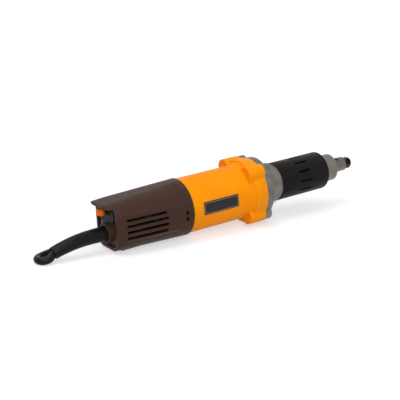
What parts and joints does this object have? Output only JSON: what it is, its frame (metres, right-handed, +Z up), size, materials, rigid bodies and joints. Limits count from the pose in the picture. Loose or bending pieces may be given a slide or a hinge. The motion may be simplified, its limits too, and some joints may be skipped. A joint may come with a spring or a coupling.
{
  "type": "straight die grinder",
  "caption": "Corded straight die grinder with a slim gripped neck, a collet nose and a tail switch lever, lying on a floor with its cord coiled behind it.",
  "frame": {"origin": "mouth of the collet, on the spindle axis, with the tool at rest on its two feet", "axes": "+X forward along the tool, +Z up from the floor; the spindle axis rises towards the nose by 3.12 degrees, so it runs in the XZ plane"},
  "size_m": [0.424, 0.1751, 0.0744],
  "materials": {
    "brown_plastic": "fine moulded texture",
    "orange_plastic": "satin",
    "black_plastic": "satin",
    "black_rubber": "soft",
    "dark_label": "printed film, bare",
    "cast_aluminium": "die cast",
    "steel": "turned",
    "dark_steel": "blackened",
    "iron": "laminated",
    "copper": "varnished",
    "brass": "plain"
  },
  "bodies": {
    "housing": {"rear_housing": "brown_plastic", "tail_cap": "brown_plastic", "tail_cap_screws": "steel", "switch_plate": "black_plastic", "lever_pin": "steel", "switch_block": "black_plastic", "cord_boot": "black_rubber", "motor_housing": "orange_plastic", "name_plate": "dark_label", "neck_casting": "cast_aluminium", "grip_sleeve": "black_plastic", "housing_screws": "steel", "front_bearing_outer_race": "steel", "front_bearing_balls": "steel", "middle_bearing_outer_race": "steel", "middle_bearing_balls": "steel", "tail_bearing_outer_race": "steel", "tail_bearing_balls": "steel", "stator_core": "iron", "field_coils": "copper", "fan_baffle": "black_plastic", "carbon_brushes": "black_plastic", "brush_holders": "brass", "bearing_carrier": "black_plastic", "cord_run": "black_rubber", "cord_coil": "black_rubber", "cord_tail": "black_rubber", "plug_body": "black_plastic", "plug_pins": "brass"},
    "rotor": {"spindle": "steel", "front_bearing_inner_race": "steel", "middle_bearing_inner_race": "steel", "tail_bearing_inner_race": "steel", "armature_shaft": "steel", "coupling": "steel", "armature_core": "iron", "armature_windings": "copper", "commutator": "copper", "fan": "black_plastic"},
    "collet": {"collet": "dark_steel"},
    "collet_nut": {"collet_nut": "dark_steel"},
    "switch_lever": {"switch_lever": "black_plastic", "lever_knob": "orange_plastic"}
  },
  "joints": [
    {"name": "spindle_spin", "type": "hinge", "parent": "housing", "child": "rotor", "pos_m": [0, 0, 0], "axis": [0.9985, 0, 0.0545], "continuous": true},
    {"name": "collet_release", "type": "slide", "parent": "rotor", "child": "collet", "axis": [0.9985, 0, 0.0545], "range_m": [0, 0.0015]},
    {"name": "nut_turn", "type": "hinge", "parent": "collet", "child": "collet_nut", "pos_m": [0, 0, 0], "axis": [0.9985, 0, 0.0545], "range_deg": [0, 540]},
    {"name": "switch_swing", "type": "hinge", "parent": "housing", "child": "switch_lever", "pos_m": [-0.32886, 0, -0.00233], "axis": [-0.0545, 0, 0.9985], "range_deg": [0, 24]}
  ],
  "couplings": [
    {"joint": "collet_release", "follows": "nut_turn", "m_per_rad": 0.00015915}
  ]
}
